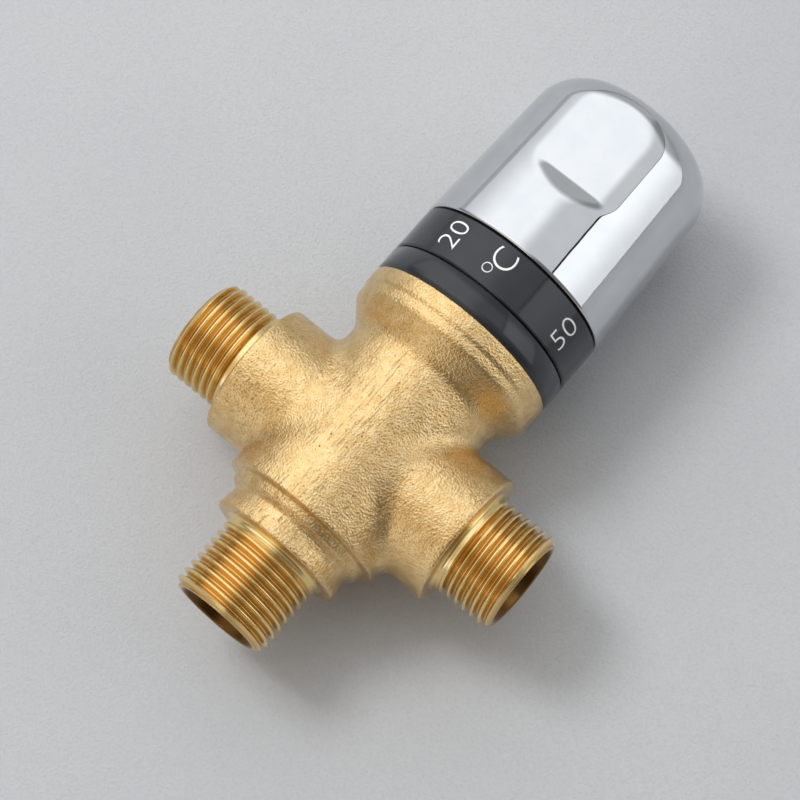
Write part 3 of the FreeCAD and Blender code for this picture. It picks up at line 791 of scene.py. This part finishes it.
def mark(name, text, size, along, angle):
    """Printed mark wrapped round the scale ring, read along the valve's axis."""
    curve = bpy.data.curves.new(name, "FONT")
    curve.body = text
    curve.size = mark_height * size * mark_em
    curve.align_x = "CENTER"
    curve.align_y = "CENTER"
    curve.offset = -mark_thinning * mark_height
    curve.extrude = mark_relief
    lettering = placed(name, curve)
    bpy.context.view_layer.update()
    graph = bpy.context.evaluated_depsgraph_get()
    mesh = bpy.data.meshes.new_from_object(lettering.evaluated_get(graph))
    bpy.data.objects.remove(lettering)
    work = bmesh.new()
    work.from_mesh(mesh)
    for i in range(1, mark_strips):
        level = (i / mark_strips - 0.5) * curve.size * mark_span
        everything = work.verts[:] + work.edges[:] + work.faces[:]
        bmesh.ops.bisect_plane(work, geom=everything, plane_co=(0, level, 0), plane_no=(0, 1, 0))
    bmesh.ops.triangulate(work, faces=work.faces)
    for corner in work.verts:
        x, y, z = corner.co
        reach = ring_r + z
        turn = math.radians(angle) - y / ring_r
        corner.co = (reach * math.sin(turn), along + x, reach * math.cos(turn))
    work.to_mesh(mesh)
    work.free()
    return tidy(mesh, name, ink, mark_angle)


# ---- room
def look_from(target, azimuth, elevation, roll, distance):
    """Place and turn of a camera that looks at target; azimuth from +X towards +Y, degrees."""
    a, e = math.radians(azimuth), math.radians(elevation)
    back = Vector((math.cos(a) * math.cos(e), math.sin(a) * math.cos(e), math.sin(e)))
    turn = back.to_track_quat("Z", "Y").to_matrix().to_4x4()
    turn = turn @ Matrix.Rotation(math.radians(roll), 4, "Z")
    return Matrix.Translation(target + back * distance) @ turn


def camera():
    """Long lens, high over the outlet's side."""
    lens = bpy.data.cameras.new("camera")
    lens.lens = lens_length
    lens.sensor_width = sensor_width
    lens.clip_start = clip_near
    lens.clip_end = clip_far
    eye = placed("camera", lens)
    eye.matrix_world = look_from(eye_target, eye_azimuth, eye_elevation, eye_roll, eye_distance)
    bpy.context.scene.camera = eye


def table():
    """Plain light table under the part."""
    top = Finish("table_top")
    grit = top.noise(1.8, 4.0, 0.7)
    drift = top.noise(0.01, 2.0)
    tone = top.mix(drift.ramp(0.3, 0.7), rgb(194, 197, 201), rgb(189, 192, 197))
    tone = top.mix(grit.ramp(0.4, 0.75) * 0.5, tone, rgb(175, 178, 184))
    finish = top.close(base_color=tone, roughness=0.6, normal=top.bump(grit * 0.2))
    mesh = bpy.data.meshes.new("floor")
    corners = [(x * floor_reach, y * floor_reach, floor_z)
               for x, y in ((-1, -1), (1, -1), (1, 1), (-1, 1))]
    mesh.from_pydata(corners, [], [(0, 1, 2, 3)])
    mesh.materials.append(finish)
    floor = placed("floor", mesh)


def studio():
    """Soft boxes painted on the sky by direction, so that chrome and brass reflect them."""
    world = bpy.data.worlds.new("studio")
    bpy.context.scene.world = world
    world.use_nodes = True
    sky = Tree(world.node_tree)
    world.node_tree.nodes.clear()
    way = sky.add("ShaderNodeTexCoord", output=0)
    x, y, z = sky.axes(way)
    lean = x.maths("ARCTAN2", z) * (180 / math.pi)      # degrees from +Z towards +X
    pitch = y.maths("ARCTAN2", z) * (180 / math.pi)     # degrees from +Z towards +Y
    # Sky that the tapered knob reflects: a box on the left, a dimmer top, a black gap and a
    # bright box on the right, and a dark line low on the left.
    left = lean.ramp(-92.0, -44.0) * 0.6 + 0.85
    top = 1 - lean.ramp(-14.0, 6.0) * 0.42
    right = lean.ramp(39.0, 39.8)
    gap = lean.ramp(36.8, 37.4) * (1 - right)
    line = lean.ramp(-92.0, -90.0) * (1 - lean.ramp(-87.0, -85.0))
    band = 1.56 - lean.ramp(52.0, 88.0) * 0.45
    upper = left * top * (1 - line * 0.35) * (1 - gap) * (1 - right) + gap * 0.02 + right * band
    # Sky that the straight rings and the forging reflect: one wide box on the left.
    lower = lean.ramp(-88.0, -45.0) * (1 - lean.ramp(-16.0, 24.0)) * 1.25 + 0.3
    height = y.ramp(0.235, 0.265)                       # 1 in the knob's sky
    near = (1 - pitch.ramp(-34.0, 0.0)) * pitch.ramp(-80.0, -54.0)      # warm, by the outlet
    far = y.ramp(0.62, 0.82)                            # dim, beyond the knob's dome
    level = upper * height + lower * (1 - height)
    level = level * (1 - near * 0.5) * (1 - far * 0.6)
    tint = sky.mix(near, (0.975, 0.98, 0.99, 1.0), (1.0, 0.88, 0.7, 1.0))
    back = sky.add("ShaderNodeBackground", {}, {0: tint, 1: level})
    plain = sky.add("ShaderNodeBackground", {}, {0: (0.9, 0.92, 0.95, 1.0), 1: 0.9})
    seen = sky.add("ShaderNodeLightPath", output=0)     # 1 where the camera looks at the sky
    both = sky.add("ShaderNodeMixShader", {}, (seen, back, plain))
    sky.add("ShaderNodeOutputWorld", {}, {0: both})


def lamp(name, place, size, power, colour):
    """Round lamp that lights the part but is not reflected."""
    light = bpy.data.lights.new(name, "AREA")
    light.shape = "DISK"
    light.size = size
    light.energy = power
    light.color = colour
    box = placed(name, light)
    turn = (lamp_aim - Vector(place)).to_track_quat("-Z", "Y").to_matrix().to_4x4()
    box.matrix_world = Matrix.Translation(place) @ turn
    box.visible_camera = False
    box.visible_glossy = False


# ---- the valve
body_skin = forging()
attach(body_skin, "valve")
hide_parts("valve_body")
for piece in threads():
    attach(piece, "valve")
    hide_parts("valve_body")
shell = knob()
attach(shell, "knob")
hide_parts("knob")
# Painted shade: the lip is a dark filler that stands in for the shade in the slit under the scale
# ring.
lip = slit_shade_lip()
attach(lip, "valve")
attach(smooth_copy("stop_ring", "fixed_band", "black_plastic"), "valve")
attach(smooth_copy("scale_ring", "scale_band", "black_plastic"), "knob")
for side in ("hot", "cold"):
    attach(smooth_copy(side + "_check_housing", side + "_check_cage", "white_plastic"), "valve")
    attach(smooth_copy(side + "_check_poppet", side + "_check_disc", "white_plastic"),
            side + "_poppet")
    coil = smooth_copy(side + "_check_spring", side + "_check_coil", "spring_steel")
    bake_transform(coil)
# The return spring gets a mesh of its own; the 0.6 mm that it gives up over the wax element's
# longer stroke is not shaped here.
coil = smooth_copy("return_spring", "return_coil", "spring_steel")
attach(coil, "valve")
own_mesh(coil)
for i, (text, size, along, angle) in enumerate(marks):
    print_mark = mark("mark_%d" % i, text, size, along * MM, angle)
    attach(print_mark, "knob")

# Every CAD piece wears the finish of its slot in the record.
for part in frame["record"]["subparts"]:
    piece = frame["nodes"][part["node"]]
    piece.data.materials.clear()
    piece.data.materials.append(finishes[part["material_slot"]])

bpy.context.scene.view_settings.view_transform = "Standard"
camera()
table()
studio()
lamp("key", (-0.5, 0.03, 0.75), 0.3, 3.4, (1.0, 0.99, 0.97))
